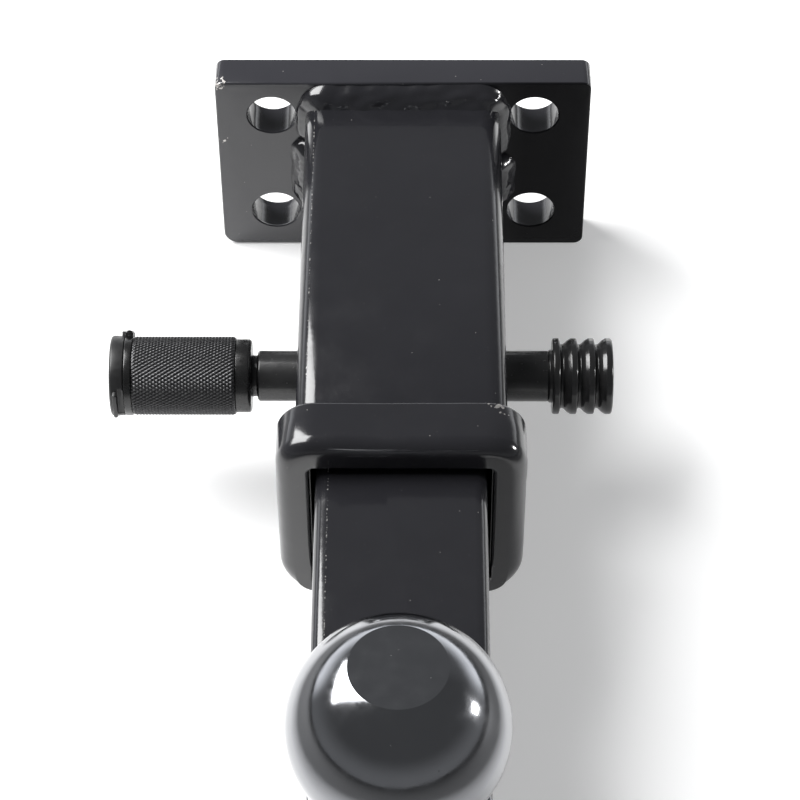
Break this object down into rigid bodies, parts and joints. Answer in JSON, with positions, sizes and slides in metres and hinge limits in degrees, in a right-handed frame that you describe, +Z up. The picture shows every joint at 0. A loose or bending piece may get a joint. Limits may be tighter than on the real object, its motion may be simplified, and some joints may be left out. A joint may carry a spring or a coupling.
{
  "type": "locking trailer hitch with ball mount",
  "caption": "Plate-mounted square receiver with a straight ball mount and flat-topped hitch ball, held by a cross pin with a knurled lock barrel and a ribbed knob.",
  "frame": {"origin": "middle of the mounting plate's back face, on the receiver tube's axis", "axes": "+Y out of the plate's back face, away from the ball; +Z up, the side the ball stands on; +X towards the hitch pin's ribbed knob"},
  "size_m": [0.1563, 0.325, 0.1585],
  "materials": {
    "black_coat": "gloss powder coat",
    "ball_chrome": "dark polished chrome",
    "plain_steel": "zinc plated",
    "pin_black": "gloss black",
    "lock_black": "satin black, knurled barrel",
    "black_plastic": "moulded",
    "seal_rubber": "matt",
    "lock_alloy": "die cast",
    "lock_brass": "satin"
  },
  "bodies": {
    "receiver": {"mounting_plate": "black_coat", "receiver_tube": "black_coat", "top_weld": "black_coat", "side_welds": "black_coat", "under_weld": "black_coat", "mouth_collar": "black_coat", "collar_weld": "black_coat"},
    "ball_mount": {"shank": "black_coat", "shank_end_plug": "black_plastic", "stud_sleeve": "plain_steel", "hitch_ball": "ball_chrome", "spring_washer": "plain_steel", "ball_nut": "plain_steel"},
    "pin": {"hitch_pin": "pin_black", "ribbed_knob": "pin_black"},
    "pin_lock": {"lock_barrel": "lock_black", "nose_ring": "lock_black", "nose_seal": "seal_rubber", "lock_housing": "lock_alloy", "cap_seat": "lock_black", "lid_hinge_pin": "plain_steel"},
    "key_core": {"key_plug": "lock_brass", "wafer_tumblers": "lock_brass", "plug_clip": "plain_steel"},
    "latch": {"latch_slide": "plain_steel"},
    "lid": {"dust_lid": "black_plastic"}
  },
  "joints": [
    {"name": "ball_mount_play", "type": "slide", "parent": "receiver", "child": "ball_mount", "axis": [0, -1, 0], "range_m": [-0.0005, 0.0005]},
    {"name": "pin_pull", "type": "slide", "parent": "receiver", "child": "pin", "axis": [1, 0, 0], "range_m": [0, 0.112]},
    {"name": "lock_pull", "type": "slide", "parent": "receiver", "child": "pin_lock", "axis": [-1, 0, 0], "range_m": [0, 0.04]},
    {"name": "key_turn", "type": "hinge", "parent": "pin_lock", "child": "key_core", "pos_m": [-0.078, -0.1032, 0], "axis": [1, 0, 0], "range_deg": [0, 90]},
    {"name": "latch_shift", "type": "slide", "parent": "pin_lock", "child": "latch", "axis": [0, 0, 1], "range_m": [0, 0.00141]},
    {"name": "lid_flip", "type": "hinge", "parent": "pin_lock", "child": "lid", "pos_m": [-0.0851, -0.09332, 0.00829], "axis": [0, 0.6428, -0.766], "range_deg": [0, 115]}
  ],
  "couplings": [
    {"joint": "latch_shift", "follows": "key_turn", "m_per_rad": 0.0009}
  ]
}
